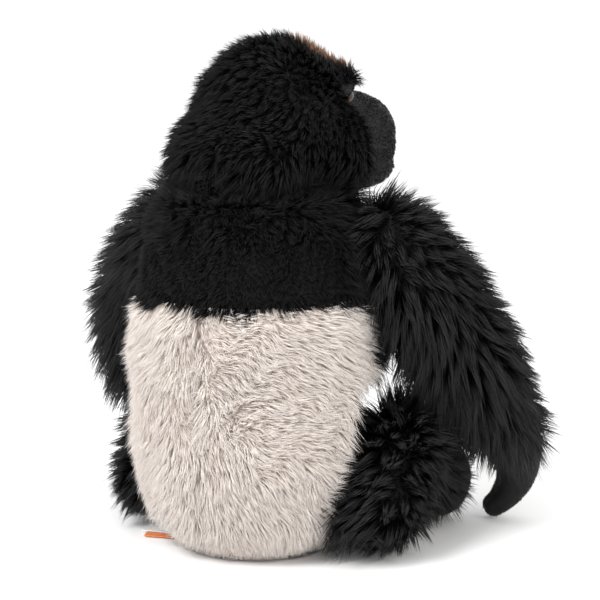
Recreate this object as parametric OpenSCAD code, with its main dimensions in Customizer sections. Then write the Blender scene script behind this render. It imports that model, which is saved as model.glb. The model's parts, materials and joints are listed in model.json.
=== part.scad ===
// Seated stuffed gorilla with a silver back, sewn from pile-fabric panels over soft filling.
// Millimetres, +Z up, the animal faces -Y and its right side is -X.
// The origin is the centre of the flat seat.
// Each panel is as thick as its backing cloth and the dense lower half of its pile.

/* [Torso] */
// Radius of the torso at its widest
torso_r = 68.5; // [66:0.5:71]
// Height of the widest part of the torso above the seat
waist_z = 80; // [74:1:86]
// Height of the shoulders, where the torso closes towards the neck
shoulder_z = 196; // [192:1:198]
// Height of the seam between the silver saddle and the black upper back
saddle_z = 145; // [135:1:155]
// Angle from the centre of the back to the side seams
side_seam = 100; // [92:1:108]
// Radius of the round panel under the seat
seat_r = 42; // [38:1:44]

/* [Fabric] */
// Thickness of the pile fabric
skin = 4; // [3:0.5:5]
// Thickness of the short-pile fabric on the face, hands and feet
smooth_skin = 2.5; // [2:0.5:3]

/* [Head] */
// Half the width of the head
head_w = 50; // [47:1:52]
// Height of the head above its centre
head_up = 46; // [42:1:48]
// Angle that the head is turned to its own right
head_turn = 20; // [0:1:24]
// Reach of the muzzle in front of the neck
muzzle_reach = 98; // [94:1:102]
// Radius of the neck
neck_r = 24; // [22:1:25]

/* [Arms] */
// Radius of the arm at the shoulder
shoulder_r = 26; // [24:1:26]
// Radius of the arm at the wrist
wrist_r = 13.5; // [12:0.5:14]

/* [Legs] */
// Radius of the leg at the hip
hip_r = 25; // [23:1:25]
// Radius of the leg at the ankle
ankle_r = 19; // [17:1:20]
// Height of the bend in the leg, which raises the knee
knee_z = 80; // [74:1:82]
// Lean of the hip axis, which carries a lifted leg inwards
hip_lean = 10; // [8:1:12]

/* [Hidden] */
$fn = 48;
left = 1;
right = -1;
gap = 0.3;           // between one stuffed piece and the next
swing_gap = 1;       // between the torso and a limb that swings
far = 200;           // reaches past the whole animal
black = [0.07, 0.07, 0.07];
soft_black = [0.11, 0.1, 0.1];
silver = [0.79, 0.76, 0.73];
stuffing = [0.93, 0.92, 0.88];

// Torso outline: two superellipses that meet at the waist
base_drop = 95;
top_rise = 137;
base_power = 2.4;
top_power = 3.4;
levels = [14, 29, 44, 60, 80, 100, 124, saddle_z, 162, 178];
neck_z = 206;
collar_z = neck_z - 2;

// Joints, on the right side of the animal, as [outwards, forwards, up]
shoulder = [71, 33, 170];
arm_bend = [114, 44.5, 118];
wrist = [115, 98, 54];
hand_bend = [120, 116, 24];
finger_tip = [102, 106, 7];
finger_r = 7;
palm_r = 17;
hip = [72, 10, hip_r];
knee_bend = [71, 45, knee_z];
ankle = [70, 80, ankle_r + 3];
foot_mid = [70, 92, 25];
foot_w = 22;
foot_h = 25;
foot_reach = 18;
sole_y = 102;
ankle_play = 12;     // the most that the ankle turns

// Head, from the neck's centre
head_mid = [0, -8, 36];
head_front = 50;
head_back = 44;
head_down = 38;
head_floor = 4.5;
muzzle_mid = [0, -68, 14.5];
muzzle_w = 27;
muzzle_up = 25;
muzzle_down = 26;
face_w = 34;
face_y = -36;
brow_z = 53;
crown_w = 20;
crown_y = -8;
eye_x = 15;
eye_z = 45;
eye_y = -53.5;
eye_r = 5.5;
eye_post_r = 2;
washer_r = 7;
washer_y = eye_y + 9;

function put(p) = [-p[0], -p[1], p[2]];
function unit(v) = v / norm(v);
function curve(a, b, c, t) = (1 - t) * (1 - t) * a + 2 * t * (1 - t) * b + t * t * c;
function curve_dir(a, b, c, t) = unit((1 - t) * (b - a) + t * (c - b));
function torso_radius(z, inset) =
    let (low = z < waist_z,
         k = abs(z - waist_z) / ((low ? base_drop : top_rise) - inset),
         p = low ? base_power : top_power)
    (torso_r - inset) * pow(max(0, 1 - pow(k, p)), 1 / p);
function outline(inset, z0, z1) =
    [for (z = concat([z0], [for (level = levels) if (level > z0 && level < z1) level], [z1]))
        [torso_radius(z, inset), z]];

// A ring is [centre, direction, radius]; domes close both ends of a limb.
// The higher the ease, the longer a limb keeps its first radius.
function dome(c, d, r, from, to) =
    [for (i = [0:3]) let (a = from + (to - from) * i / 3) [c + d * r * sin(a), d, r * cos(a)]];
function limb_rings(a, b, c, r0, r1, steps, ease = 1) = concat(
    dome(a, curve_dir(a, b, c, 0), r0, -80, -20),
    [for (i = [0:steps]) let (t = i / steps)
        [curve(a, b, c, t), curve_dir(a, b, c, t), r0 + (r1 - r0) * pow(t, ease)]],
    dome(c, curve_dir(a, b, c, 1), r1, 20, 80));

// Sweeps round rings into one closed solid
module sweep(rings, sides = 12) {
    n = len(rings);
    pts = [for (ring = rings)
        let (u = unit(cross(ring[1], [1, 0.2, 0.1])), v = cross(ring[1], u))
        for (k = [0:sides - 1]) let (a = 360 * k / sides)
            ring[0] + ring[2] * (u * cos(a) + v * sin(a))];
    walls = [for (i = [0:n - 2], k = [0:sides - 1])
        let (j = (k + 1) % sides) [i * sides + k, (i + 1) * sides + k,
            (i + 1) * sides + j, i * sides + j]];
    ends = [[for (k = [0:sides - 1]) k], [for (k = [sides - 1:-1:0]) (n - 1) * sides + k]];
    polyhedron(pts, concat(walls, ends), convexity = 4);
}

// A closed egg with its own reach in each direction
module egg(side, front, back, up, down, sides = 20, rows = 10) {
    pts = concat([[0, 0, -down]],
        [for (i = [1:rows - 1], k = [0:sides - 1])
            let (v = -90 + 180 * i / rows, a = 360 * k / sides)
            [side * cos(v) * cos(a), (sin(a) > 0 ? back : front) * cos(v) * sin(a),
                (v > 0 ? up : down) * sin(v)]],
        [[0, 0, up]]);
    last = len(pts) - 1;
    walls = [for (i = [0:rows - 3], k = [0:sides - 1])
        let (j = (k + 1) % sides, b = 1 + i * sides) [b + k, b + sides + k,
            b + sides + j, b + j]];
    polyhedron(pts, concat(walls,
        [for (k = [0:sides - 1]) [0, 1 + k, 1 + (k + 1) % sides]],
        [for (k = [0:sides - 1]) [last, last - sides + (k + 1) % sides, last - sides + k]]),
        convexity = 4);
}

// Everything on the side of a plane that its normal points to
module half_space(point, normal) {
    translate(point)
        rotate([0, acos(unit(normal)[2]), atan2(normal[1], normal[0])])
            translate([-far, -far, 0]) cube([2 * far, 2 * far, far]);
}

module on_side(side) {
    if (side == left) mirror([1, 0, 0]) children();
    else children();
}

// ---- torso ----
module torso_body(inset, floor_z) {
    rotate_extrude(convexity = 4)
        polygon(concat([[0, floor_z]], outline(inset, floor_z, shoulder_z - inset),
            [[neck_r, collar_z - inset], [0, collar_z - inset]]));
}

// The space that a leg needs as it lifts: a flat slot across the leaning hip axis.
// Its outline is [up, back] from the hip: round behind the hip, then up over the raised knee.
module leg_bay() {
    r = hip_r + swing_gap;
    over_knee = [[knee_z - 16, -20], [knee_z - 22, 8]];
    translate(put(hip)) rotate([0, hip_lean, 0]) rotate([0, -90, 0])
        translate([0, 0, -r]) linear_extrude(far)
            polygon(concat(
                [for (i = [0:6]) let (a = 60 + 20 * i) [r * cos(a), r * sin(a)]],
                [[-r, -far], [knee_z - 16, -far]], over_knee));
}

// The space that an arm needs as it swings: a cone around the shoulder's axis
module arm_bay() {
    slope = 0.5;
    reach = 45;
    translate(put(shoulder) + [(shoulder_r + swing_gap) * norm([1, slope]) + gap, 0, 0])
        rotate([0, -90, 0]) cylinder(h = reach, r1 = 0, r2 = reach / slope);
}

module bays() {
    for (side = [left, right]) on_side(side) {
        leg_bay();
        arm_bay();
    }
    translate([0, 0, neck_z]) sphere(neck_r + gap);
}

module torso_panel(middle, half_angle, z0, z1) {
    outer = outline(0, z0, min(z1, shoulder_z));
    inner = outline(skin, max(z0, skin), min(z1, shoulder_z) - (z1 > shoulder_z ? skin : 0));
    bottom = z0 > 0 ? [] : [[seat_r, skin], [seat_r, 0]];
    top = z1 < shoulder_z ? [] : [[neck_r, collar_z], [neck_r, collar_z - skin]];
    difference() {
        rotate([0, 0, middle - half_angle])
            rotate_extrude(angle = 2 * half_angle, convexity = 4)
                polygon(concat(bottom, outer, top,
                    [for (i = [len(inner) - 1:-1:0]) inner[i]]));
        bays();
    }
}

module base_panel() {
    color(black) difference() {
        cylinder(h = skin, r = seat_r);
        bays();
    }
}

module silver_back(side) {
    color(silver) torso_panel(90 - side * side_seam / 2, side_seam / 2, 0, saddle_z);
}

module upper_back(side) {
    color(black) torso_panel(90 - side * side_seam / 2, side_seam / 2, saddle_z, far);
}

module belly_panel() {
    color(black) torso_panel(270, 180 - side_seam, 0, far);
}

module pouch_shape(grow) {
    pouch_r = 30;
    round_r = 8;
    translate([0, 0, skin + gap + round_r]) union() {
        rotate_extrude() translate([pouch_r, 0]) circle(round_r + grow);
        cylinder(h = 2 * (round_r + grow), r = pouch_r, center = true);
    }
}

module torso_filling() {
    color(stuffing) difference() {
        torso_body(skin, skin);
        bays();
        pouch_shape(gap);
    }
}

module pellet_pouch() {
    color([0.85, 0.83, 0.75]) pouch_shape(0);
}

// Flat tags sewn into the seam of the seat
module tag(width, reach, z0, thick, spin) {
    tag_angle = 14;
    difference() {
        rotate([0, 0, tag_angle + spin]) translate([seat_r, -width / 2, z0])
            cube([reach, width, thick]);
        torso_body(0, 0);
    }
}

module seam_tape() {
    color([0.88, 0.42, 0.14]) tag(19, 22, 0.2, 0.8, 0);
}

module care_label() {
    color("white") tag(15, 25, 1.3, 0.5, -4);
}

// ---- neck ----
module neck_skin() {
    color(black) translate([0, 0, neck_z]) difference() {
        sphere(neck_r);
        sphere(neck_r - smooth_skin);
    }
}

module neck_filling() {
    color(stuffing) translate([0, 0, neck_z]) sphere(neck_r - smooth_skin - gap);
}

// ---- head, drawn facing -Y from the neck's centre ----
module head_place() {
    translate([0, 0, neck_z]) rotate([0, 0, -head_turn]) children();
}

module head_egg(inset) {
    translate(head_mid) egg(head_w - inset, head_front - inset, head_back - inset,
        head_up - inset, head_down - inset);
}

module muzzle_egg(inset) {
    reach = muzzle_reach + muzzle_mid[1];
    translate(muzzle_mid) egg(muzzle_w - inset, reach - inset, reach - inset,
        muzzle_up - inset, muzzle_down - inset, 16, 8);
}

module above_neck() {
    intersection() {
        difference() {
            children();
            sphere(neck_r + gap);
        }
        translate([-far, -far, head_floor]) cube(2 * far);
    }
}

module head_shell() {
    above_neck() difference() {
        head_egg(0);
        head_egg(skin);
    }
}

module face_window() {
    translate([-face_w, -far, -far]) cube([2 * face_w, far + face_y, far + brow_z]);
}

module crown_window() {
    translate([-crown_w, -far, brow_z]) cube([2 * crown_w, far + crown_y, far]);
}

module eye_socket(side, r, reach) {
    translate([side * eye_x, eye_y, eye_z]) rotate([-90, 0, 0]) cylinder(h = reach, r = r);
}

module head_side(side) {
    color(black) head_place() difference() {
        head_shell();
        face_window();
        crown_window();
        translate([side == left ? -2 * far : 0, -far, -far]) cube(2 * far);
    }
}

module crown_patch() {
    color([0.35, 0.2, 0.1]) head_place() intersection() {
        head_shell();
        crown_window();
    }
}

module face_mask() {
    color(soft_black) head_place() difference() {
        intersection() {
            head_shell();
            face_window();
        }
        muzzle_egg(-gap);
        for (side = [left, right])
            translate([side * eye_x, eye_y - far / 2, eye_z]) rotate([-90, 0, 0])
                cylinder(h = far, r = eye_post_r + 0.2);
    }
}

module brow_shape(grow) {
    translate([0, -50, brow_z + 4]) egg(31 + grow, 12 + grow, 12 + grow, 7 + grow, 6 + grow, 16,
        6);
}

module brow_ridge() {
    color(soft_black) head_place() difference() {
        brow_shape(0);
        head_egg(-gap);
        for (side = [left, right]) eye_dome(side, gap);
    }
}

module muzzle() {
    color(soft_black) head_place() difference() {
        muzzle_egg(0);
        muzzle_egg(smooth_skin);
        head_egg(-gap);
        for (side = [left, right]) eye_dome(side, gap);
    }
}

module nose() {
    color([0.05, 0.05, 0.05]) head_place() difference() {
        translate([0, -89, 27]) egg(13, 9, 9, 7, 8, 12, 6);
        muzzle_egg(-gap);
    }
}

module ear(side) {
    color(soft_black) head_place() difference() {
        translate([side * 49, -4, 40]) rotate([0, 0, side * 12]) egg(5, 10, 10, 12, 12, 12, 6);
        head_egg(-gap);
    }
}

module eye_dome(side, grow) {
    translate([side * eye_x, eye_y, eye_z]) sphere(eye_r + grow);
}

module eye(side) {
    color([0.22, 0.12, 0.05]) head_place() {
        difference() {
            eye_dome(side, 0);
            head_egg(-0.05);
        }
        translate([0, -3, 0]) eye_socket(side, eye_post_r, 15.5);
    }
}

module eye_washer(side) {
    color("white") head_place()
        translate([side * eye_x, washer_y, eye_z]) rotate([-90, 0, 0]) difference() {
            cylinder(h = 1.5, r = washer_r);
            translate([0, 0, -1]) cylinder(h = 4, r = eye_post_r + 0.05);
        }
}

module head_filling() {
    color(stuffing) head_place() difference() {
        union() {
            above_neck() head_egg(skin + gap);
            difference() {
                muzzle_egg(smooth_skin + gap);
                translate([-far, head_mid[1] - head_front + skin + 10, -far]) cube(2 * far);
            }
        }
        difference() {
            head_egg(-1);
            head_egg(skin + gap / 2);
            muzzle_egg(gap);
        }
        for (side = [left, right]) {
            eye_socket(side, eye_post_r + 0.5, 15);
            translate([side * eye_x, washer_y - 3, eye_z]) rotate([-90, 0, 0])
                cylinder(h = 6, r = washer_r + 0.5);
        }
    }
}

// ---- arms and hands ----
module arm(inset) {
    sweep(limb_rings(put(shoulder), put(arm_bend), put(wrist), shoulder_r - inset,
        wrist_r - inset, 7, 2));
}

module hand(inset) {
    along = curve_dir(put(wrist), put(hand_bend), put(finger_tip), 0);
    difference() {
        sweep(limb_rings(put(wrist), put(hand_bend), put(finger_tip), palm_r - inset,
            finger_r - inset, 6));
        translate(put(wrist)) sphere(wrist_r + 2 * gap);
        half_space(put(wrist) + along * 3, -along);
    }
}

// The seam of a hand runs around its outline, in the plane of its bend
module hand_half(outer) {
    bend_normal = cross(put(hand_bend) - put(wrist), put(finger_tip) - put(wrist));
    intersection() {
        difference() {
            hand(0);
            hand(smooth_skin);
        }
        half_space(put(wrist), outer ? bend_normal : -bend_normal);
    }
}

module arm_sleeve(side) {
    color(black) on_side(side) difference() {
        arm(0);
        arm(skin);
    }
}

module arm_filling(side) {
    color(stuffing) on_side(side) arm(skin + gap);
}

module hand_outer(side) {
    color(soft_black) on_side(side) hand_half(true);
}

module hand_inner(side) {
    color(soft_black) on_side(side) hand_half(false);
}

module hand_filling(side) {
    color(stuffing) on_side(side) hand(smooth_skin + gap);
}

// ---- legs and feet ----
module leg(inset) {
    sweep(limb_rings(put(hip), put(knee_bend), put(ankle), hip_r - inset, ankle_r - inset, 6));
}

// The foot keeps clear of the leg through the ankle's range
module leg_room() {
    reach = 45;
    slant = atan2(ankle[1] - knee_bend[1], knee_bend[2] - ankle[2]);
    translate(put(ankle)) {
        sphere(ankle_r + 2 * gap);
        rotate([-slant, 0, 0])
            cylinder(h = reach, r1 = ankle_r + 4 * gap, r2 = ankle_r + reach * tan(ankle_play));
    }
}

module foot(inset) {
    difference() {
        translate(put(foot_mid))
            egg(foot_w - inset, foot_reach - inset, foot_reach - inset, foot_h - inset,
                foot_h - inset, 16, 8);
        leg_room();
        half_space(put(ankle) - [0, 6, 0], [0, 1, 0]);
    }
}

module foot_shell() {
    difference() {
        foot(0);
        foot(smooth_skin);
    }
}

module leg_sleeve(side) {
    color(black) on_side(side) difference() {
        leg(0);
        leg(skin);
    }
}

module leg_filling(side) {
    color(stuffing) on_side(side) leg(skin + gap);
}

module foot_sole(side) {
    color(soft_black) on_side(side) intersection() {
        foot_shell();
        half_space([0, -sole_y, 0], [0, -1, 0]);
    }
}

module foot_upper(side) {
    color(black) on_side(side) intersection() {
        foot_shell();
        half_space([0, -sole_y, 0], [0, 1, 0]);
    }
}

module foot_filling(side) {
    color(stuffing) on_side(side) foot(smooth_skin + gap);
}

base_panel();
silver_back(left);  // silver_back_left
silver_back(right);  // silver_back_right
upper_back(left);  // upper_back_left
upper_back(right);  // upper_back_right
belly_panel();
torso_filling();
pellet_pouch();
seam_tape();
care_label();
neck_skin();
neck_filling();
head_side(left);  // head_side_left
head_side(right);  // head_side_right
crown_patch();
face_mask();
brow_ridge();
muzzle();
nose();
ear(left);  // ear_left
ear(right);  // ear_right
eye(left);  // eye_left
eye(right);  // eye_right
eye_washer(left);  // eye_washer_left
eye_washer(right);  // eye_washer_right
head_filling();
arm_sleeve(left);  // arm_sleeve_left
arm_sleeve(right);  // arm_sleeve_right
arm_filling(left);  // arm_filling_left
arm_filling(right);  // arm_filling_right
hand_outer(left);  // hand_outer_left
hand_outer(right);  // hand_outer_right
hand_inner(left);  // hand_inner_left
hand_inner(right);  // hand_inner_right
hand_filling(left);  // hand_filling_left
hand_filling(right);  // hand_filling_right
leg_sleeve(left);  // leg_sleeve_left
leg_sleeve(right);  // leg_sleeve_right
leg_filling(left);  // leg_filling_left
leg_filling(right);  // leg_filling_right
foot_upper(left);  // foot_upper_left
foot_upper(right);  // foot_upper_right
foot_sole(left);  // foot_sole_left
foot_sole(right);  // foot_sole_right
foot_filling(left);  // foot_filling_left
foot_filling(right);  // foot_filling_right
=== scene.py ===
"""Looks for the seated plush gorilla: stuffed covers, real-geometry pile, face, tags and studio."""

import json
import math

import bpy
import numpy as np
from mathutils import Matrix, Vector, kdtree


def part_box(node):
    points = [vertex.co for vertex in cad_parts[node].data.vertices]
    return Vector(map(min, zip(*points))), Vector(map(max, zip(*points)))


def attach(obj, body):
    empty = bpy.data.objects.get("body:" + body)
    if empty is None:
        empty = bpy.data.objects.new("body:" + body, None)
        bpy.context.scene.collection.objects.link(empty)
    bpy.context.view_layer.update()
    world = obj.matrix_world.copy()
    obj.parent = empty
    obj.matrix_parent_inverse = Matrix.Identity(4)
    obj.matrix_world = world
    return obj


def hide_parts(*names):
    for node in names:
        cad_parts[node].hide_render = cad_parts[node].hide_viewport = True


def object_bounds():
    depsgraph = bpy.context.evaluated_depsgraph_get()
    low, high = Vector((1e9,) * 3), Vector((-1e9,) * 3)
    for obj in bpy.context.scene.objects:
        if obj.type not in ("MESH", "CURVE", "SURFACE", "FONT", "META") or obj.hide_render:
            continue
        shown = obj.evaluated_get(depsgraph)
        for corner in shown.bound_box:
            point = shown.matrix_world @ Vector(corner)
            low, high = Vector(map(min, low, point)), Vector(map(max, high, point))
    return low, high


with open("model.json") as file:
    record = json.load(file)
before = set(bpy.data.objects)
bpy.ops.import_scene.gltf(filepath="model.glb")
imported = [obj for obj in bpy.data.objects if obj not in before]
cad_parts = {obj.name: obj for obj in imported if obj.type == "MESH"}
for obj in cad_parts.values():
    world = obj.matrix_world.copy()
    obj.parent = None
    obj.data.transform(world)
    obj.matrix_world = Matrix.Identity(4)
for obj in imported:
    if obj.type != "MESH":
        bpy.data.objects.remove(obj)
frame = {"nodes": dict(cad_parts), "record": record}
CAD_BOX = [[float(x) for x in corner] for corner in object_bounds()]
MM = 0.001
SIDES = {"left": 1, "right": -1}
JOINTS = {j["name"]: j for j in frame["record"]["behaviour"]["joints"]}


def mm(point):
    """A frame position in millimetres."""
    return np.array(point, float) / MM


# ---- sizes, in millimetres, in the frame of the CAD part ----
SKIN = 4.0  # cloth and dense pile: the cover lies this far under the CAD surface
WAIST_Z, WAIST_R = 80.0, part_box("silver_back_left")[1][1] / MM
BASE_DROP, TOP_RISE = 95.0, 137.0
BASE_POWER, TOP_POWER = 2.4, 3.4
SADDLE_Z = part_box("upper_back_left")[0][2] / MM
SIDE_SEAM = 100.0  # degrees from the centre of the back
NECK = mm(JOINTS["head_turn"]["pos_m"])
NECK_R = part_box("neck_skin")[1][0] / MM
NOD_AXIS = JOINTS["head_nod"]["axis"]
HEAD_TURN = math.atan2(NOD_AXIS[1], -NOD_AXIS[0])
HIP_LEAN = math.atan2(-JOINTS["hip_left"]["axis"][2], -JOINTS["hip_left"]["axis"][0])
SHOULDER = mm(JOINTS["shoulder_left"]["pos_m"])
WRIST = mm(JOINTS["wrist_left"]["pos_m"])
HIP = mm(JOINTS["hip_left"]["pos_m"])
ANKLE = mm(JOINTS["ankle_left"]["pos_m"])
SHOULDER_R, WRIST_R = 26.0, 13.5
HIP_R, ANKLE_R = 25.0, 19.0
ARM_BEND = np.array([114.0, -44.5, 118.0])
HAND_BEND = np.array([120.0, -116.0, 24.0])
FINGER_TIP = np.array([102.0, -106.0, 7.5])
KNEE_BEND = np.array([71.0, -45.0, 80.0])
FOOT_MID = np.array([70.0, -92.0, 25.0])
REACH_X = CAD_BOX[1][0] / MM + 16  # pile tips stay within this
THREAD = 0.55  # width of a thread in the tags


# ---- numbers and vectors ----
def unit(v):
    return v / np.maximum(np.linalg.norm(v, axis=-1, keepdims=True), 1e-9)


def smooth_step(low, high, x):
    t = np.clip((x - low) / (high - low), 0, 1)
    return t * t * (3 - 2 * t)


def smooth_min(a, b, k):
    h = np.clip(0.5 + 0.5 * (b - a) / k, 0, 1)
    return b + (a - b) * h - k * h * (1 - h)


def bump_ring(distance, width):
    """1 on a line, falling to 0 at about its width away."""
    return np.exp(-((distance / width) ** 2))


def wave_noise(p, scale, seed):
    """A smooth vector noise, about -1 to 1, made of a few sine waves with seeded directions."""
    rng = np.random.default_rng(seed)
    out = np.zeros_like(p)
    for octave in range(5):
        k = rng.normal(size=(3, 3)) * (2 * math.pi / scale) * (0.5 + 0.35 * octave)
        out += np.sin(p @ k + rng.uniform(0, 6.28, 3)) * (0.62 - 0.1 * octave)
    return out / 1.4


def tangent(v, normal):
    """The part of v that lies in the surface."""
    return unit(v - normal * (v * normal).sum(-1, keepdims=True))


def curve(a, b, c, t):
    t = np.asarray(t, float)[..., None]
    return (1 - t) ** 2 * a + 2 * t * (1 - t) * b + t * t * c


def curve_dir(a, b, c, t):
    t = np.asarray(t, float)[..., None]
    return unit((1 - t) * (b - a) + t * (c - b))


def mirrored(p, side):
    return p * np.array([SIDES[side], 1, 1])


# ---- surfaces: closed grids in millimetres ----
CAP_RINGS, LIMB_COLS = 6, 36  # rings in each rounded end of a limb, and points in each ring


class Surface:
    """Vertices and triangles of a cover, with the normal at each vertex."""

    def __init__(self, verts, faces):
        self.verts = np.asarray(verts, float)
        self.faces = [tuple(int(i) for i in f) for f in faces]
        tris = []
        for f in self.faces:
            tris += [(f[0], f[i], f[i + 1]) for i in range(1, len(f) - 1)]
        self.tris = np.array(tris)
        a, b, c = (self.verts[self.tris[:, k]] for k in range(3))
        if (a * np.cross(b, c)).sum() < 0:  # inside out
            self.faces = [f[::-1] for f in self.faces]
            self.tris = self.tris[:, ::-1]
        self.refresh()

    def refresh(self):
        a, b, c = (self.verts[self.tris[:, k]] for k in range(3))
        flat = np.cross(b - a, c - a)
        normals = np.zeros_like(self.verts)
        for k in range(3):
            np.add.at(normals, self.tris[:, k], flat)
        self.normals = unit(normals)
        self.area = np.linalg.norm(flat, axis=1) / 2


def grid_faces(rows, cols):
    faces = []
    for i in range(rows - 1):
        for k in range(cols):
            j = (k + 1) % cols
            faces.append((i * cols + k, i * cols + j, (i + 1) * cols + j, (i + 1) * cols + k))
    return faces


def capped(ring_points, cols):
    """A surface through rings of points, with its first and last rings closed to their middles."""
    rows = len(ring_points)
    verts = np.concatenate([np.concatenate(ring_points), [ring_points[0].mean(0)],
                            [ring_points[-1].mean(0)]])
    faces = grid_faces(rows, cols)
    first, last = rows * cols, rows * cols + 1
    for k in range(cols):
        j = (k + 1) % cols
        faces.append((first, j, k))
        faces.append((last, (rows - 1) * cols + k, (rows - 1) * cols + j))
    return Surface(verts, faces)


def limb(start, bend, end, r0, r1, side, rows=30, ease=1.0, swell=0.0):
    """A limb along a curve, with a rounded cap at each end; ease keeps it thick for longer."""
    cols = LIMB_COLS
    rings = []
    axis = np.array([0.0, 1.0, 0.2])
    for i in range(rows + 2 * CAP_RINGS):
        if i < CAP_RINGS:
            t, a = 0.0, math.radians(-84 + i * 15)
        elif i >= rows + CAP_RINGS:
            t, a = 1.0, math.radians(9 + (i - rows - CAP_RINGS) * 15)
        else:
            t, a = (i - CAP_RINGS + 0.5) / rows, 0.0
        base = r0 + (r1 - r0) * t**ease + swell * math.sin(math.pi * t)
        d = curve_dir(start, bend, end, t)
        u = unit(np.cross(d, axis))
        v = np.cross(d, u)
        centre = curve(start, bend, end, t) + d * base * math.sin(a)
        turn = np.linspace(0, 2 * math.pi, cols, endpoint=False)[:, None]
        r = base * math.cos(a)
        ring = centre + r * (u * np.cos(turn) + v * np.sin(turn))
        rings.append(mirrored(ring, side))
    return capped(rings, cols)


def egg(centre, reach, place, square=2.0):
    """A closed egg whose points the place function then puts into the frame."""
    rows, cols = 22, 32
    turn = np.linspace(0, 2 * math.pi, cols, endpoint=False)
    rings = []
    for i in range(rows):
        a = math.radians(-86 + 172 * i / (rows - 1))
        ring = np.stack([math.cos(a) * np.cos(turn), math.cos(a) * np.sin(turn),
                         np.full(cols, math.sin(a))], 1)
        ring /= ((np.abs(ring) ** square).sum(1, keepdims=True)) ** (1 / square)
        rings.append(place(ring * np.array(reach) + np.array(centre)))
    return capped(rings, cols)


def torso_radius(z, inset):
    low = z < WAIST_Z
    reach = np.where(low, BASE_DROP, TOP_RISE) - inset
    power = np.where(low, BASE_POWER, TOP_POWER)
    k = np.abs(z - WAIST_Z) / reach
    return (WAIST_R - inset) * np.maximum(0, 1 - k**power) ** (1 / power)


def limb_room(p):
    """How far out the torso may reach at each point, so that the arms and legs have room."""
    slope = 0.5  # how fast the room widens away from the shoulder
    apex = SHOULDER[0] - (SHOULDER_R - SKIN) * math.hypot(1, slope)
    away = np.hypot(p[:, 1] - SHOULDER[1], p[:, 2] - SHOULDER[2])
    arm = apex + slope * away
    ahead, up = HIP[1] - p[:, 1], p[:, 2] - HIP[2]
    over_knee = -0.21 * (ahead + 8) + 0.98 * (up - 58)
    behind_hip = -0.95 * (ahead + 22.5) + 0.31 * (up - 13)
    off = np.maximum.reduce([up - 64, over_knee, behind_hip, -ahead - HIP_R - 1])
    plane = HIP[0] - (HIP_R + 2) / math.cos(HIP_LEAN) - up * math.tan(HIP_LEAN)
    leg = plane + 1.6 * np.maximum(0, off + 3)
    return np.minimum(arm, leg)


def torso_surface():
    cols = 144
    turn = np.linspace(0, 2 * math.pi, cols, endpoint=False)
    rings = []
    floor_z = 1.0
    profile = [(r, floor_z) for r in (8, 20, 32, 41)]
    profile += [(float(torso_radius(np.array(z), SKIN)), z)
                for z in np.concatenate([[1.5, 3, 5, 8], np.arange(12, 198, 3.2)])]
    top_r = profile[-1][0]
    profile += [(NECK_R + 4 + (top_r - NECK_R - 4) * k, 201 - 3.5 * k)
                for k in (0.75, 0.5, 0.25, 0)]
    profile += [(NECK_R - 6, 201.5), (8, 201.5)]
    for r, z in profile:
        ring = np.stack([r * np.cos(turn), r * np.sin(turn), np.full(cols, z)], 1)
        rings.append(ring)
    surface = capped(rings, cols)
    p = surface.verts
    room = limb_room(p)
    out = np.abs(p[:, 0])
    p[:, 0] = np.sign(p[:, 0]) * np.where(out > 5, np.maximum(smooth_min(out, room, 4), 3), out)
    surface.refresh()
    return surface


def back_angle(p):
    """Degrees from the centre of the back, positive to the animal's left."""
    return np.degrees(np.arctan2(p[:, 0], p[:, 1]))


HEAD_BLOBS = (  # centre and reach from the neck's centre, facing -Y, and how square it is
    ((0, -13, 33), (43, 37, 39), 2.0),
    ((0, 13, 16), (40, 26, 22), 2.0),
    ((0, -17, 56), (17, 27, 19), 2.0),
    ((0, -47, 54), (27, 11, 6.5), 2.2),
    ((0, -64, 36), (12, 21, 9), 2.0),
    ((0, -70, 15.5), (24, 25.5, 24.8), 3.0),
    ((25, -38, 18), (18, 21, 21), 2.0),
    ((-25, -38, 18), (18, 21, 21), 2.0),
)
HEAD_HEART = np.array([0.0, -20.0, 27.0])


def head_field(p):
    """About the distance in millimetres outside the head's cover."""
    soft = 4.0
    total = 0
    for centre, reach, square in HEAD_BLOBS:
        q = (np.abs((p - np.array(centre)) / np.array(reach)) ** square).sum(-1) ** (1 / square)
        total = total + np.exp(-(q - 1) * min(reach) / soft)
    return -soft * np.log(total)


def head_reach(direction):
    """The cover's point along each direction from the head's heart."""
    low, high = np.zeros(len(direction)), np.full(len(direction), 120.0)
    for _ in range(26):
        mid = (low + high) / 2
        inside = head_field(HEAD_HEART + direction * mid[:, None]) < 0
        low, high = np.where(inside, mid, low), np.where(inside, high, mid)
    return HEAD_HEART + direction * low[:, None]


def head_to_frame(p):
    c, s = math.cos(-HEAD_TURN), math.sin(-HEAD_TURN)
    turned = np.stack([p[..., 0] * c - p[..., 1] * s, p[..., 0] * s + p[..., 1] * c, p[..., 2]], -1)
    return turned + NECK


def frame_to_head(p):
    q = p - NECK
    c, s = math.cos(HEAD_TURN), math.sin(HEAD_TURN)
    return np.stack([q[..., 0] * c - q[..., 1] * s, q[..., 0] * s + q[..., 1] * c, q[..., 2]], -1)


def head_surface():
    rows, cols = 74, 112
    rings = []
    turn = np.linspace(0, 2 * math.pi, cols, endpoint=False)
    for i in range(rows):
        tilt = math.radians(-88 + 176 * i / (rows - 1))
        d = np.stack([np.cos(turn) * math.cos(tilt), np.sin(turn) * math.cos(tilt),
                      np.full(cols, math.sin(tilt))], 1)
        ring = head_reach(d)
        ring[:, 2] = np.maximum(ring[:, 2], 4.0 - 14.0 * smooth_step(40, 50, -ring[:, 1]))
        rings.append(head_to_frame(ring))
    return capped(rings, cols)


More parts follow.
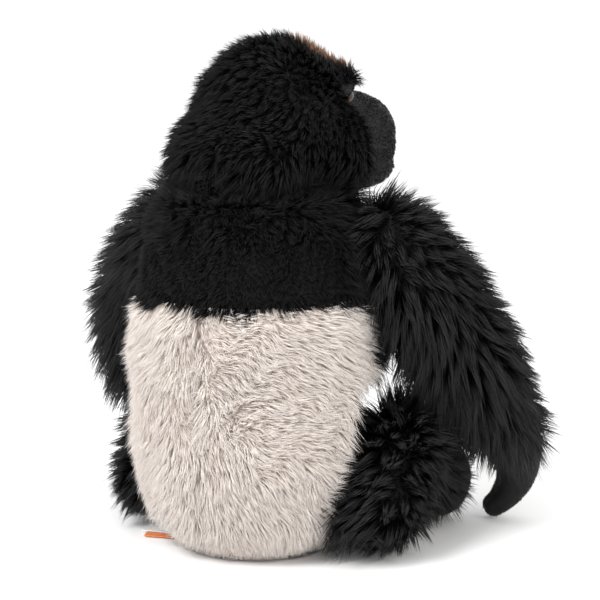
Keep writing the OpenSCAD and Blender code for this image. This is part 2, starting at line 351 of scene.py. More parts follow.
# ---- meshes ----
def mesh_object(name, verts, faces, material, smooth=True):
    me = bpy.data.meshes.new(name)
    me.from_pydata((np.asarray(verts) * MM).tolist(), [], faces)
    me.update()
    if smooth:
        me.polygons.foreach_set("use_smooth", [True] * len(me.polygons))
    ob = bpy.data.objects.new(name, me)
    bpy.context.scene.collection.objects.link(ob)
    me.materials.append(material)
    return ob


def cover(name, surface, material, body, nodes):
    """A stuffed cloth cover, which stands for the CAD nodes that it covers and fills."""
    ob = mesh_object(name, surface.verts, surface.faces, material)
    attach(ob, body)
    if nodes:
        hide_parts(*nodes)
    return ob


def swell(surface, seams, puff=4.0, most=4.0):
    """Cloth simulation: the filling pushes a cover out between its seams, which stay put."""
    me = bpy.data.meshes.new("cloth")
    me.from_pydata((surface.verts * MM).tolist(), [], surface.faces)
    ob = bpy.data.objects.new("cloth", me)
    bpy.context.scene.collection.objects.link(ob)
    ob.vertex_groups.new(name="seams").add(np.flatnonzero(seams).tolist(), 1.0, "REPLACE")
    cloth = ob.modifiers.new("cloth", "CLOTH")
    cloth.settings.quality = 5
    cloth.settings.tension_stiffness = 30
    cloth.settings.compression_stiffness = 30
    cloth.settings.bending_stiffness = 1.0
    cloth.settings.vertex_group_mass = "seams"
    cloth.settings.use_pressure = True
    cloth.settings.uniform_pressure_force = puff
    cloth.settings.effector_weights.gravity = 0
    cloth.collision_settings.use_collision = False
    cloth.point_cache.frame_end = 20
    for number in range(1, 21):
        bpy.context.scene.frame_set(number)
    made = ob.evaluated_get(bpy.context.evaluated_depsgraph_get()).data
    moved = np.empty(len(surface.verts) * 3)
    made.vertices.foreach_get("co", moved)
    travel = moved.reshape(-1, 3) / MM - surface.verts
    far = np.linalg.norm(travel, axis=1, keepdims=True)
    surface.verts += travel * np.minimum(1, most / np.maximum(far, 1e-6))
    surface.refresh()
    bpy.data.objects.remove(ob)
    bpy.data.meshes.remove(me)
    bpy.context.scene.frame_set(1)


def crease(surface, distance, depth, width):
    """Pulls a cover in along a seam."""
    surface.verts -= surface.normals * (depth * bump_ring(distance, width))[:, None]
    surface.refresh()


# ---- pile ----
def strand_mesh(name, rings, tips, material, uv_column, wander):
    """One closed three-sided strand for each root. rings is (strands, levels, 3 corners, xyz)."""
    count, levels = rings.shape[:2]
    per = levels * 3 + 1
    verts = np.concatenate([rings.reshape(count, levels * 3, 3), tips[:, None]], 1) * MM
    loops, sizes, heights = [], [], []
    for lv in range(levels - 1):
        for k in range(3):
            j = (k + 1) % 3
            loops += [lv * 3 + k, lv * 3 + j, (lv + 1) * 3 + j, (lv + 1) * 3 + k]
            heights += [lv, lv, lv + 1, lv + 1]
            sizes.append(4)
    for k in range(3):
        loops += [(levels - 1) * 3 + k, (levels - 1) * 3 + (k + 1) % 3, levels * 3]
        heights += [levels - 1, levels - 1, levels]
        sizes.append(3)
    loops += [2, 1, 0]
    heights += [0, 0, 0]
    sizes.append(3)
    loops, sizes = np.array(loops), np.array(sizes)
    all_loops = (np.arange(count)[:, None] * per + loops).ravel()
    all_sizes = np.tile(sizes, count)
    me = bpy.data.meshes.new(name)
    me.vertices.add(count * per)
    me.vertices.foreach_set("co", verts.ravel().astype(np.float32))
    me.loops.add(len(all_loops))
    me.loops.foreach_set("vertex_index", all_loops.astype(np.int32))
    me.polygons.add(len(all_sizes))
    starts = np.concatenate([[0], np.cumsum(all_sizes)[:-1]])
    me.polygons.foreach_set("loop_start", starts.astype(np.int32))
    me.polygons.foreach_set("use_smooth", np.ones(len(all_sizes), bool))
    uv = np.empty((count, len(loops), 2), np.float32)
    uv[:, :, 0] = uv_column[:, None]
    uv[:, :, 1] = np.array(heights) / levels * 0.96 + 0.02
    uv[:, :, 0] += wander * (np.arange(len(loops)) % 2)
    layer = me.uv_layers.new(name="OFBake")
    layer.data.foreach_set("uv", uv.ravel())
    me.update(calc_edges=True)
    me.validate()
    ob = bpy.data.objects.new(name, me)
    bpy.context.scene.collection.objects.link(ob)
    me.materials.append(material)
    return ob


def scatter(surface, density, rng, where):
    """Roots spread over the surface: points and normals, where the mask function allows."""
    count = int(surface.area.sum() * density)
    pick = rng.choice(len(surface.tris), size=count, p=surface.area / surface.area.sum())
    u, v = rng.random((2, count))
    fold = u + v > 1
    u, v = np.where(fold, 1 - u, u), np.where(fold, 1 - v, v)
    weights = np.stack([1 - u - v, u, v], 1)[:, :, None]
    corners = surface.tris[pick]
    points = (surface.verts[corners] * weights).sum(1)
    normals = unit((surface.normals[corners] * weights).sum(1))
    keep = rng.random(count) < where(points, normals)
    return points[keep], normals[keep]


def nearest(centres, points):
    tree = kdtree.KDTree(len(centres))
    for i, c in enumerate(centres):
        tree.insert(c, i)
    tree.balance()
    return np.array([tree.find(p)[1] for p in points])


def strand_paths(roots, normals, lengths, comb, lean, levels):
    """Points along each strand, which leans over from its root lean to its tip lean."""
    path = [roots - normals * 0.4]
    at = path[0]
    for i in range(levels):
        angle = (lean[0] + (lean[1] - lean[0]) * (i + 0.5) / levels)[:, None]
        step = normals * np.cos(angle) + comb * np.sin(angle)
        at = at + step * (lengths / levels)[:, None]
        path.append(at)
    return np.stack(path, 1)


def grow(name, surface, material, body, where, length, comb, density, seed, nodes=(),
         width=0.42, lean=(25, 62), lock=4.5, clump=0.8, swirl=0.35, swirl_scale=38, levels=2,
         jitter=0.16, fall=0.0, length_spread=0.22):
    """Pile on a cover, of closed tapered strands that gather into pointed locks."""
    rng = np.random.default_rng(seed)
    roots, normals = scatter(surface, density, rng, where)
    count = len(roots)
    wave = wave_noise(roots, swirl_scale, seed)
    fine = wave_noise(roots, swirl_scale / 4, seed + 1)
    flow = comb(roots, normals)
    flow = tangent(unit(flow) + swirl * wave + 0.4 * swirl * fine
                   + jitter * rng.normal(size=(count, 3)), normals)
    lengths = length(roots, normals) * (1 + length_spread * rng.normal(size=count).clip(-2, 2))
    lengths *= 1 + 0.16 * wave[:, 0]
    tilt = np.radians(np.array(lean))[:, None] + 0.14 * (wave[:, 1] + rng.normal(size=count) * 0.8)
    path = strand_paths(roots, normals, lengths, flow, tilt, levels)
    centres = rng.choice(count, size=max(1, int(count / density / lock**2)), replace=False)
    home = centres[nearest(roots[centres], roots)]
    pull = (np.linspace(0, 1, levels + 1) ** 0.8 * clump)[None, :, None]
    reach = lengths / np.maximum(lengths[home], 1e-6)
    lead = path[home][:, :1] + (path[home] - path[home][:, :1]) * reach[:, None, None] * 1.04
    path = path + (lead - path) * pull * rng.uniform(0.75, 1.0, count)[:, None, None]
    drop = np.linspace(0, 1, levels + 1) ** 2
    path[:, :, 2] -= fall * drop * lengths[:, None]
    path[:, :, 0] = np.clip(path[:, :, 0], -REACH_X, REACH_X)
    path[:, :, 2] = np.maximum(path[:, :, 2], 0.4)
    along = unit(path[:, 1] - path[:, 0])
    across = unit(np.cross(along, rng.normal(size=(count, 3))))
    other = np.cross(along, across)
    turn = np.radians([0, 120, 240])
    taper = (1 - np.arange(levels) / levels) ** 0.55 * width / 2
    thick = taper[None, :] * (lengths / lengths.mean()).clip(0.5, 1.3)[:, None]
    spokes = (across[:, None] * np.cos(turn)[None, :, None]
              + other[:, None] * np.sin(turn)[None, :, None])
    rings = path[:, :levels, None] + thick[:, :, None, None] * spokes[:, None]
    column = (0.1 + 0.8 * rng.random(count)).astype(np.float32)
    ob = strand_mesh(name, rings, path[:, levels], material, column, 0.002)
    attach(ob, body)
    if nodes:
        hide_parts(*nodes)
    return ob


# ---- materials ----
def node_material(name, roughness=0.6, specular=0.5, sheen=0.0, sheen_rough=0.5, sheen_tint=None):
    m = bpy.data.materials.new(name)
    m.use_nodes = True
    shader = m.node_tree.nodes["Principled BSDF"]
    shader.inputs["Roughness"].default_value = roughness
    shader.inputs["Specular IOR Level"].default_value = specular
    shader.inputs["Sheen Weight"].default_value = sheen
    shader.inputs["Sheen Roughness"].default_value = sheen_rough
    if sheen_tint:
        shader.inputs["Sheen Tint"].default_value = (*sheen_tint, 1)
    return m, m.node_tree, shader


def add(tree, kind, **values):
    node = tree.nodes.new(kind)
    for k, v in values.items():
        setattr(node, k, v)
    return node


def ramp(tree, source, stops):
    node = add(tree, "ShaderNodeValToRGB")
    for i, (at, colour) in enumerate(stops):
        stop = node.color_ramp.elements[i] if i < 2 else node.color_ramp.elements.new(at)
        stop.position = at
        stop.color = (*colour, 1)
    tree.links.new(source, node.inputs[0])
    return node.outputs[0]


def noise(tree, scale, detail=3.0, distortion=0.0):
    place = add(tree, "ShaderNodeTexCoord")
    node = add(tree, "ShaderNodeTexNoise")
    node.inputs["Scale"].default_value = scale
    node.inputs["Detail"].default_value = detail
    node.inputs["Distortion"].default_value = distortion
    tree.links.new(place.outputs["Object"], node.inputs["Vector"])
    return node.outputs["Fac"]


def mix(tree, fac, a, b, blend="MIX"):
    node = add(tree, "ShaderNodeMix", data_type="RGBA", blend_type=blend)
    for socket, value in ((node.inputs[0], fac), (node.inputs[6], a), (node.inputs[7], b)):
        if isinstance(value, (int, float)):
            socket.default_value = value
        elif isinstance(value, tuple):
            socket.default_value = (*value, 1)
        else:
            tree.links.new(value, socket)
    return node.outputs[2]


def bump(tree, shader, height, strength, distance):
    node = add(tree, "ShaderNodeBump")
    node.inputs["Strength"].default_value = strength
    node.inputs["Distance"].default_value = distance
    tree.links.new(height, node.inputs["Height"])
    tree.links.new(node.outputs[0], shader.inputs["Normal"])


def pile_material(name, root, middle, tip, patch, even=0.0, **finish):
    """Strand colour from root to tip, a little different on each strand and from patch to patch;
    the coarse patches are partly the pile's own patchy tone and partly painted highlight, lighter
    and darker patches that stand in for pile catching the light.
    """
    m, tree, shader = node_material(name, **finish)
    uv = add(tree, "ShaderNodeUVMap", uv_map="OFBake")
    split = add(tree, "ShaderNodeSeparateXYZ")
    tree.links.new(uv.outputs[0], split.inputs[0])
    along = ramp(tree, split.outputs[1], ((0.0, root), (1.0, tip), (0.5, middle)))
    each = ramp(tree, split.outputs[0], ((0.05, (0.72 + 0.6 * even,) * 3),
                                         (0.95, (1.25 - 0.6 * even,) * 3)))
    varied = mix(tree, 1.0, along, each, "MULTIPLY")
    # painted highlight and real tone: coarse noise darkens the pile in patches, so the patches left
    # at full colour read as pile catching the light
    patch_tone_and_highlight = ramp(tree, noise(tree, 45), ((0.35, (1, 1, 1)), (0.7, patch)))
    colour = mix(tree, 1.0, varied, patch_tone_and_highlight, "MULTIPLY")
    tree.links.new(colour, shader.inputs["Base Color"])
    return m


def cloth_material(name, dark, light, grain=900.0, strength=0.4, **finish):
    """Backing cloth or very short pile: mottled colour and a fine nap."""
    m, tree, shader = node_material(name, **finish)
    nap = noise(tree, grain, 2.0)
    soft = noise(tree, 70.0)
    colour = mix(tree, nap, dark, light)
    shade = ramp(tree, soft, ((0.3, (0.8,) * 3), (0.7, (1.15,) * 3)))
    tree.links.new(mix(tree, 1.0, colour, shade, "MULTIPLY"), shader.inputs["Base Color"])
    bump(tree, shader, nap, strength, 0.0006)
    return m


def plastic_material(name, deep, bright, roughness, scale):
    m, tree, shader = node_material(name, roughness=roughness)
    colour = mix(tree, noise(tree, scale, 4.0, 0.5), deep, bright)
    tree.links.new(colour, shader.inputs["Base Color"])
    return m


def woven_material(name, dark, light):
    """Narrow tape: two crossed sets of threads."""
    m, tree, shader = node_material(name, roughness=0.55, sheen=0.2)
    place = add(tree, "ShaderNodeTexCoord")
    weave = None
    for direction in ("X", "Y"):
        wave = add(tree, "ShaderNodeTexWave", bands_direction=direction)
        wave.inputs["Scale"].default_value = 1 / (THREAD * MM) / 6.283
        wave.inputs["Distortion"].default_value = 0.6
        tree.links.new(place.outputs["Object"], wave.inputs["Vector"])
        out = wave.outputs["Color"]
        weave = out if weave is None else mix(tree, 0.5, weave, out)
    tree.links.new(mix(tree, weave, dark, light), shader.inputs["Base Color"])
    bump(tree, shader, weave, 0.5, 0.0003)
    return m


# the fourth colour of each pile is its patch colour: partly the pile's own patchy tone and partly
# painted highlight
MAT = {
    "silver": pile_material("silver_pile", (0.87, 0.79, 0.73), (0.9, 0.825, 0.77),
                            (0.93, 0.865, 0.82), (0.96, 0.945, 0.935), even=0.4, roughness=0.7,
                            specular=0.2, sheen=0.15, sheen_rough=0.5),
    "black": pile_material("black_pile", (0.003,) * 3, (0.0065, 0.0065, 0.0072),
                           (0.014, 0.0142, 0.0155), (0.7, 0.7, 0.75), roughness=0.5,
                           specular=0.16),
    "shag": pile_material("black_shag", (0.004,) * 3, (0.013, 0.013, 0.0132),
                          (0.037, 0.037, 0.0375), (0.7, 0.7, 0.75), roughness=0.45,
                          specular=0.22),
    "brown": pile_material("brown_pile", (0.03, 0.014, 0.008), (0.1, 0.042, 0.018),
                           (0.3, 0.17, 0.09), (0.8, 0.75, 0.7), roughness=0.45),
    "smooth": pile_material("smooth_black", (0.004,) * 3, (0.007,) * 3, (0.014, 0.0135, 0.0135),
                            (0.75,) * 3, roughness=0.55, specular=0.2, sheen=0.03),
    "silver_cloth": cloth_material("silver_backing", (0.78, 0.7, 0.64), (0.88, 0.81, 0.75),
                                   roughness=0.9, sheen=0.2),
    "black_cloth": cloth_material("black_backing", (0.003,) * 3, (0.007,) * 3, roughness=0.8,
                                  specular=0.15),
    "nap": cloth_material("smooth_nap", (0.005,) * 3, (0.012, 0.0115, 0.0115), roughness=0.65,
                          specular=0.2, sheen=0.05, sheen_rough=0.4),
    "nose": cloth_material("nose_cloth", (0.004,) * 3, (0.012,) * 3, grain=1500.0, strength=0.3,
                           roughness=0.38, specular=0.5),
    "orange": woven_material("orange_tape", (0.6, 0.13, 0.02), (0.85, 0.26, 0.06)),
    "white": woven_material("white_label", (0.72, 0.72, 0.7), (0.92, 0.92, 0.9)),
    "eye": plastic_material("eye_plastic", (0.012, 0.005, 0.002), (0.07, 0.028, 0.008), 0.08, 300),
    "washer": plastic_material("washer_plastic", (0.7, 0.7, 0.68), (0.85, 0.85, 0.83), 0.5, 120),
    "filling": cloth_material("fibre_filling", (0.75, 0.73, 0.68), (0.9, 0.89, 0.85),
                              grain=300.0, roughness=0.95),
    "pouch": cloth_material("pouch_cloth", (0.6, 0.57, 0.5), (0.75, 0.72, 0.64), grain=700.0,
                            roughness=0.9),
}


# ---- torso ----
def always(points, normals):
    return np.ones(len(points))


def down(points, normals):
    return np.tile([0.0, 0.0, -1.0], (len(points), 1))


def saddle_edge(points):
    """Height of the wavy border between the saddle's pile and the black pile above it."""
    x = points[:, 0]
    return SADDLE_Z + 2.0 * np.sin(x * 0.11) + 1.2 * np.sin(x * 0.31)


def saddle_comb(points, normals):
    """The saddle's pile is brushed down, and around to the right of a soft parting."""
    right = smooth_step(-30, 30, -points[:, 0])
    low = smooth_step(70, 20, points[:, 2])
    around = unit(np.stack([-points[:, 1], points[:, 0], 0 * right], 1))
    return (down(points, normals) * (1 - 0.45 * right * (1 - low))[:, None]
            + around * (1.15 * right * (1 - 0.6 * low) - 0.12)[:, None])


def torso():
    surface = torso_surface()
    p = surface.verts
    turned = np.abs(back_angle(p))
    seams = ((np.abs(p[:, 2] - SADDLE_Z) < 1.7) & (turned < SIDE_SEAM)) | (p[:, 2] < 4)
    seams |= (turned < 1.3) | (np.abs(turned - SIDE_SEAM) < 1.3) | (p[:, 2] > 190)
    seams |= np.abs(p[:, 0]) > limb_room(p) - 5
    swell(surface, seams, most=2.5)
    p = surface.verts
    behind = smooth_step(0, 25, p[:, 1])
    crease(surface, np.abs(p[:, 0]), 3.4 * behind * smooth_step(2, 25, p[:, 2]), 3.5)
    crease(surface, p[:, 2] - SADDLE_Z, 1.6, 3.5)
    surface.verts += surface.normals * wave_noise(surface.verts, 75, 3)[:, :1] * 1.1
    surface.refresh()
    ob = cover("torso_cover", surface, MAT["black_cloth"], "torso",
               ["base_panel", "torso_filling"])
    ob.data.materials.append(MAT["silver_cloth"])
    middles = np.array([poly.center[:] for poly in ob.data.polygons]) / MM
    on_saddle = ((middles[:, 2] < SADDLE_Z) & (np.abs(back_angle(middles)) < SIDE_SEAM)
                 & (middles[:, 2] > 1.2))
    ob.data.polygons.foreach_set("material_index", on_saddle.astype(np.int32))

    def clear_of_limbs(q):
        return np.abs(q[:, 0]) < limb_room(q) - 1.0

    for name, side in SIDES.items():
        def saddle(q, n, side=side):
            ang = back_angle(q) * side
            return ((ang > 0) & (ang < SIDE_SEAM) & (q[:, 2] < saddle_edge(q)) & (q[:, 2] > 0.8)
                    & clear_of_limbs(q))

        def saddle_length(q, n):
            near_floor = smooth_step(0, 26, q[:, 2])
            near_top = smooth_step(0, 8, SADDLE_Z - q[:, 2])
            side = smooth_step(62, 88, np.abs(back_angle(q))) * bump_ring(q[:, 2] - 82, 26)
            return 10.0 * (0.32 + 0.68 * near_floor) * (0.7 + 0.3 * near_top) + 9.0 * side

        grow(f"saddle_pile_{name}", surface, MAT["silver"], "torso", saddle,
             saddle_length, saddle_comb, 1.2, 11 + side, [f"silver_back_{name}"], width=0.46,
             lean=(30, 68), lock=2.8, clump=0.5, swirl=0.85, swirl_scale=40, fall=0.04)

        def upper(q, n, side=side):
            ang = back_angle(q) * side
            return ((ang > 0) & (ang < SIDE_SEAM) & (q[:, 2] > saddle_edge(q) - 0.5)
                    & (np.hypot(q[:, 0], q[:, 1]) > NECK_R) & clear_of_limbs(q))

        def upper_length(q, n):
            fringe = smooth_step(9, 0, q[:, 2] - SADDLE_Z)
            rim = smooth_step(172, 194, q[:, 2])
            beside_arm = smooth_step(14, 2, limb_room(q) - np.abs(q[:, 0]))
            return 5.0 + np.maximum.reduce([4.0 * fringe, 5.0 * rim, 6.0 * beside_arm])

        grow(f"upper_back_pile_{name}", surface, MAT["black"], "torso", upper,
             upper_length, down, 1.7, 21 + side, [f"upper_back_{name}"],
             width=0.42, lean=(34, 50), lock=2.6, clump=0.55, swirl=0.8, swirl_scale=30, levels=2)

    def belly(q, n):
        return ((np.abs(back_angle(q)) >= SIDE_SEAM) & (q[:, 2] > 1.2)
                & (np.hypot(q[:, 0], q[:, 1]) > NECK_R) & clear_of_limbs(q))

    def belly_length(q, n):
        return 3.0 + 11.0 * smooth_step(0, 25, q[:, 2]) + 6.0 * smooth_step(168, 190, q[:, 2])

    grow("belly_pile", surface, MAT["black"], "torso", belly, belly_length, down,
         0.5, 31, ["belly_panel"], width=0.55, lean=(25, 60), lock=4.0, clump=0.7)


# ---- neck ----
def neck():
    cols = 64
    rings = []
    turn = np.linspace(0, 2 * math.pi, cols, endpoint=False)
    for r, z in ((8, 198), (36, 199), (38, 203), (37, 207), (35, 212), (8, 214)):
        rings.append(np.stack([r * np.cos(turn), r * np.sin(turn), np.full(cols, float(z))], 1))
    surface = capped(rings, cols)
    cover("neck_cover", surface, MAT["black_cloth"], "neck", ["neck_skin"])
    grow("neck_pile", surface, MAT["black"], "neck",
         lambda q, n: (np.hypot(q[:, 0], q[:, 1]) > 33) * 1.0, lambda q, n: np.full(len(q), 9.0),
         down, 0.9, 35, width=0.6, lean=(20, 45), lock=2.5, clump=0.5)


# ---- head ----
def face_part(q):
    """0 in the pile of the head, 1 on the smooth face and muzzle."""
    h = frame_to_head(q)
    front = smooth_step(-30, -38, h[:, 1])
    low = smooth_step(56, 51, h[:, 2])
    narrow = smooth_step(35, 30, np.abs(h[:, 0]))
    muzzle = smooth_step(-46, -52, h[:, 1]) * smooth_step(48, 42, h[:, 2])
    return np.maximum(front * low * narrow, muzzle)


def crown_part(q):
    h = frame_to_head(q)
    return ((np.abs(h[:, 0]) < 17) & (h[:, 1] < -26) & (h[:, 2] > 56)).astype(float)


def head_comb(q, n):
    """Pile runs back from the face, up to the crest and down behind."""
    h = frame_to_head(q)
    back = np.stack([np.zeros(len(q)), np.ones(len(q)), -0.55 - 0.012 * (60 - h[:, 2])], 1)
    return head_to_frame(back) - NECK


def face_pieces():
    """A nose with two nostrils, and ears that are cupped towards the front."""
    nose = egg((0, 0, 0), (12, 8, 7), lambda q: q, square=2.4)
    for side in (-1, 1):
        away = np.hypot(nose.verts[:, 0] - side * 5.2, (nose.verts[:, 2] + 1.5) * 1.2)
        nose.verts[:, 1] += 4.0 * bump_ring(away, 2.3) * (nose.verts[:, 1] < -2)
    nose.verts = head_to_frame(nose.verts + np.array([0, -91.0, 27.0]))
    nose.refresh()
    cover("nose_cover", nose, MAT["nose"], "head", ["nose"])
    for name, side in SIDES.items():
        ear = egg((0, 0, 0), (4.5, 8, 10), lambda q: q)
        cup = bump_ring(np.hypot(ear.verts[:, 1] / 8, ear.verts[:, 2] / 10), 0.62)
        ear.verts[:, 0] -= 5.5 * cup * (ear.verts[:, 0] > 1)
        ear.verts[:, 0] -= 0.35 * ear.verts[:, 1]
        ear = Surface(head_to_frame(ear.verts * np.array([side, 1, 1])
                                    + np.array([side * 43.0, -6.0, 38.0])), ear.faces)
        cover(f"ear_cover_{name}", ear, MAT["nap"], "head", None)
        grow(f"ear_pile_{name}", ear, MAT["black"], "head", always,
             lambda q, n: np.full(len(q), 6.5), head_comb, 2.0, 55 + side, [f"ear_{name}"],
             width=0.45, lean=(30, 55), lock=2.4, clump=0.6)


def head():
    surface = head_surface()
    h = frame_to_head(surface.verts)
    face_edge = np.abs(face_part(surface.verts) - 0.5) < 0.3
    swell(surface, (h[:, 2] < 6) | (np.abs(h[:, 0]) < 1.0) | face_edge, most=2.5)
    surface.verts += surface.normals * wave_noise(surface.verts, 60, 5)[:, :1] * 0.8
    surface.refresh()
    h = frame_to_head(surface.verts)
    mouth = np.abs(h[:, 2] - 4.0 - 5.0 * (h[:, 0] / 22) ** 2) + 40 * (h[:, 1] > -62)
    crease(surface, mouth, 1.8, 2.6)
    ob = cover("head_cover", surface, MAT["black_cloth"], "head",
               ["head_filling", "face_mask", "muzzle", "brow_ridge"])
    ob.data.materials.append(MAT["nap"])
    middles = np.array([poly.center[:] for poly in ob.data.polygons]) / MM
    ob.data.polygons.foreach_set("material_index", (face_part(middles) > 0.5).astype(np.int32))
    face_pieces()
    for name, side in SIDES.items():
        def on_side(q, n, side=side):
            h = frame_to_head(q)
            own_side = (h[:, 0] * side >= 0) & (h[:, 2] > 5.5)
            return own_side * (face_part(q) < 0.5) * (1 - crown_part(q))

        def side_length(q, n):
            h = frame_to_head(q)
            over_neck = smooth_step(24, 8, h[:, 2])
            return 8.5 - 1.5 * smooth_step(-15, -40, h[:, 1]) + 5.0 * over_neck

        grow(f"head_pile_{name}", surface, MAT["black"], "head", on_side, side_length,
             head_comb, 1.5, 41 + side, [f"head_side_{name}"], width=0.5, lean=(22, 58),
             lock=3.4, clump=0.72, swirl=0.5, swirl_scale=30)
    grow("crown_pile", surface, MAT["brown"], "head", lambda q, n: crown_part(q),
         lambda q, n: np.full(len(q), 7.0), head_comb, 1.6, 47, ["crown_patch"], width=0.5,
         lean=(15, 50), lock=3.0, clump=0.7)
    grow("face_pile", surface, MAT["smooth"], "head",
         lambda q, n: (face_part(q) >= 0.5) * 1.0, lambda q, n: np.full(len(q), 1.6), head_comb,
         1.6, 51, width=0.45, lean=(30, 60), lock=1.5, clump=0.2, levels=1)


# ---- limbs ----
def end_caps(surface, start, end, name):
    """The seams where a limb's tube closes, near its two ends."""
    first = np.linalg.norm(surface.verts - mirrored(start, name), axis=1)
    last = np.linalg.norm(surface.verts - mirrored(end, name), axis=1)
    ends = len(surface.verts) - 2
    number = np.arange(len(surface.verts))
    in_cap = CAP_RINGS * LIMB_COLS
    caps = (number < in_cap) | (number >= ends - in_cap)
    return caps & (np.minimum(first, last) < 40)


def arms():
    for name, side in SIDES.items():
        surface = limb(SHOULDER, ARM_BEND, WRIST, SHOULDER_R - SKIN, WRIST_R - 2.0, name, ease=2.0,
                       swell=1.5)
        swell(surface, end_caps(surface, SHOULDER, WRIST, name), most=2.0)
        surface.verts += surface.normals * wave_noise(surface.verts, 60, 61 + side)[:, :1] * 1.2
        surface.refresh()
        cover(f"arm_cover_{name}", surface, MAT["black_cloth"], f"arm_{name}",
              [f"arm_filling_{name}"])

        def comb(q, n, name=name):
            t = np.linspace(0, 1, 24)
            line = mirrored(curve(SHOULDER, ARM_BEND, WRIST, t), name)
            way = mirrored(curve_dir(SHOULDER, ARM_BEND, WRIST, t), name)
            near = np.argmin(((q[:, None] - line[None]) ** 2).sum(-1), 1)
            return way[near] + np.array([0, 0, -0.35])

        def length(q, n, name=name):
            outer = smooth_step(0, 0.7, n[:, 0]) * bump_ring(q[:, 2] - 105, 45)
            under = smooth_step(0.2, -0.7, n[:, 2]) * smooth_step(40, 75, q[:, 2])
            inner = smooth_step(0.3, -0.6, n[:, 0] * np.sign(q[:, 0]))
            root = smooth_step(115, 150, q[:, 2]) * inner
            return 14.0 + 9.0 * np.maximum(under, root) + 8.0 * outer * (name == "left")

        grow(f"arm_shag_{name}", surface, MAT["shag"], f"arm_{name}", always, length,
             comb, 0.85, 71 + side, [f"arm_sleeve_{name}"], width=0.6, lean=(22, 52), lock=4.6,
             clump=0.85, swirl=0.45, fall=0.06)
        hand_surface = limb(WRIST, HAND_BEND, FINGER_TIP, 16.5, 6.8, name, rows=26)
        across = unit(np.cross(HAND_BEND - WRIST, FINGER_TIP - WRIST)) * np.array([side, 1, 1])
        seam = np.abs((hand_surface.verts - mirrored(WRIST, name)) @ across)
        swell(hand_surface, seam < 1.2, most=1.5)
        seam = np.abs((hand_surface.verts - mirrored(WRIST, name)) @ across)
        crease(hand_surface, seam, 0.7, 1.4)
        cover(f"hand_cover_{name}", hand_surface, MAT["nap"], f"hand_{name}",
              [f"hand_filling_{name}", f"hand_inner_{name}"])
        grow(f"hand_nap_{name}", hand_surface, MAT["smooth"], f"hand_{name}",
             always, lambda q, n: np.full(len(q), 1.4), down, 1.5, 81 + side,
             [f"hand_outer_{name}"], width=0.4, lean=(35, 60), lock=1.5, clump=0.2, levels=1)


def legs():
    for name, side in SIDES.items():
        surface = limb(HIP, KNEE_BEND, ANKLE, HIP_R - SKIN, ANKLE_R - SKIN, name, swell=1.0)
        swell(surface, end_caps(surface, HIP, ANKLE, name), most=2.0)
        cover(f"leg_cover_{name}", surface, MAT["black_cloth"], f"leg_{name}",
              [f"leg_filling_{name}"])

        def comb(q, n):
            ahead = HIP[1] - q[:, 1]
            way = 2.0 * smooth_step(5, 65, ahead) - 1.0
            return np.stack([0 * way, -way, -0.3 - 0.2 * np.abs(way)], 1)

        def length(q, n, name=name):
            top = smooth_step(0.2, 0.9, n[:, 2])
            rear = smooth_step(-2, 18, q[:, 1]) * (name == "right")
            outer = smooth_step(0, 0.8, n[:, 0]) * (name == "left")
            full = 14.0 + 8.0 * np.maximum(top, rear) - 6.0 * outer
            return full * (0.3 + 0.7 * smooth_step(2, 22, q[:, 2]))

        grow(f"leg_shag_{name}", surface, MAT["shag"], f"leg_{name}", always, length,
             comb, 0.8, 91 + side, [f"leg_sleeve_{name}"], width=0.6, lean=(20, 50), lock=4.6,
             clump=0.85, swirl=0.55, fall=0.05)
        foot = egg(FOOT_MID, (21.5, 17.5, 24.5), lambda q, name=name: mirrored(q, name))
        foot.verts[:, 1] = np.maximum(foot.verts[:, 1], FOOT_MID[1] - 14.5)
        foot.refresh()
        swell(foot, foot.verts[:, 1] < FOOT_MID[1] - 13, most=2.0)
        cover(f"foot_cover_{name}", foot, MAT["nap"], f"foot_{name}",
              [f"foot_filling_{name}", f"foot_sole_{name}"])
        grow(f"foot_nap_{name}", foot, MAT["smooth"], f"foot_{name}",
             always, lambda q, n: np.full(len(q), 1.6), down, 1.3, 95 + side,
             [f"foot_upper_{name}"], width=0.45, lean=(35, 60), lock=1.5, clump=0.2, levels=1)


# ---- studio ----
def studio():
    size = 12.0
    floor = mesh_object("studio_floor", np.array([[-1, -1, 0], [1, -1, 0], [1, 1, 0], [-1, 1, 0]])
                        * size / MM, [(0, 1, 2, 3)], floor_material(), smooth=False)
    floor.location.z = -0.0005
    world = bpy.data.worlds.new("studio")
    bpy.context.scene.world = world
    world.use_nodes = True
    world.node_tree.nodes["Background"].inputs[0].default_value = (1, 1, 1, 1)
    world.node_tree.nodes["Background"].inputs[1].default_value = 1.12
    view = bpy.context.scene.view_settings
    view.view_transform = "Standard"
    view.look = "None"


def floor_material():
    m, tree, shader = node_material("pale_floor", roughness=0.9, specular=0.1)
    colour = mix(tree, noise(tree, 3.0), (0.93, 0.93, 0.93), (0.95, 0.95, 0.95))
    tree.links.new(colour, shader.inputs["Base Color"])
    return m


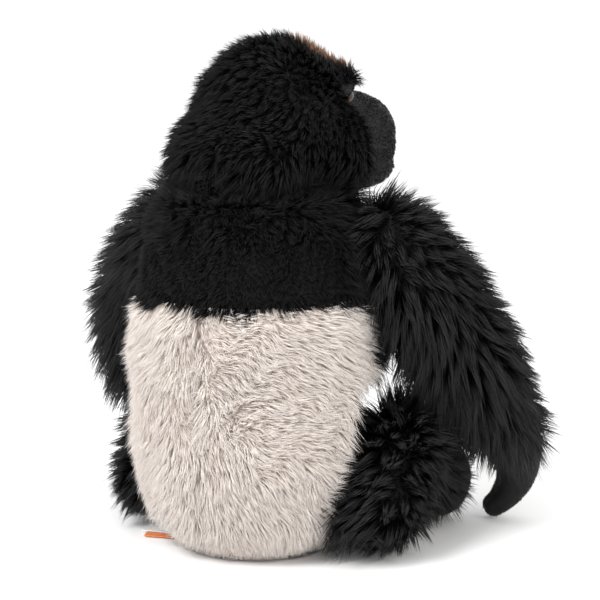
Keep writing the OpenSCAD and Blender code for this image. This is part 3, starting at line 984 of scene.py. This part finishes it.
AZIMUTH, ELEVATION = math.radians(208), math.radians(11)
DISTANCE = 1.25  # metres from the camera to the point it looks at
LENS_PER_METRE = 105.0  # millimetres of lens for each metre of distance
BACK = Vector((math.sin(AZIMUTH) * math.cos(ELEVATION), -math.cos(AZIMUTH) * math.cos(ELEVATION),
               math.sin(ELEVATION)))
RIGHT = Vector((math.cos(AZIMUTH), math.sin(AZIMUTH), 0))
UP = BACK.cross(RIGHT)


def camera():
    data = bpy.data.cameras.new("camera")
    data.sensor_width = 36
    data.lens = LENS_PER_METRE * DISTANCE
    data.clip_end = 20
    ob = bpy.data.objects.new("camera", data)
    bpy.context.scene.collection.objects.link(ob)
    target = RIGHT * 0.0251 + UP * 0.137
    ob.rotation_mode = "QUATERNION"
    ob.location = target + BACK * DISTANCE
    ob.rotation_quaternion = (-BACK).to_track_quat("-Z", "Y")
    bpy.context.scene.camera = ob


def area_light(name, right, up, back, size, power, colour=(1, 1, 1)):
    data = bpy.data.lights.new(name, "AREA")
    data.shape = "DISK"
    data.size = size
    data.energy = power
    data.color = colour
    ob = bpy.data.objects.new(name, data)
    bpy.context.scene.collection.objects.link(ob)
    aim = Vector((0, 0, 0.13))
    ob.location = aim + RIGHT * right + Vector((0, 0, 1)) * up + BACK * back
    ob.rotation_mode = "QUATERNION"
    ob.rotation_quaternion = (aim - ob.location).to_track_quat("-Z", "Y")


def lights():
    area_light("key_light", -0.9, 1.1, 1.1, 0.8, 27)
    area_light("fill_light", 1.3, 0.7, 0.9, 0.9, 9, (1, 0.97, 0.94))


# ---- tags ----
def tags():
    for node, material, slot in (("seam_tape", "orange", "orange_tape"),
                                 ("care_label", "white", "white_label")):
        frame["nodes"][node].data.materials.clear()
        frame["nodes"][node].data.materials.append(MAT[material])


def carried_over():
    for node, material in (("eye_left", "eye"), ("eye_right", "eye"), ("eye_washer_left", "washer"),
                           ("eye_washer_right", "washer"), ("neck_filling", "filling"),
                           ("pellet_pouch", "pouch")):
        frame["nodes"][node].data.materials.clear()
        frame["nodes"][node].data.materials.append(MAT[material])


camera()
studio()
lights()
torso()
neck()
head()
arms()
legs()
tags()
carried_over()
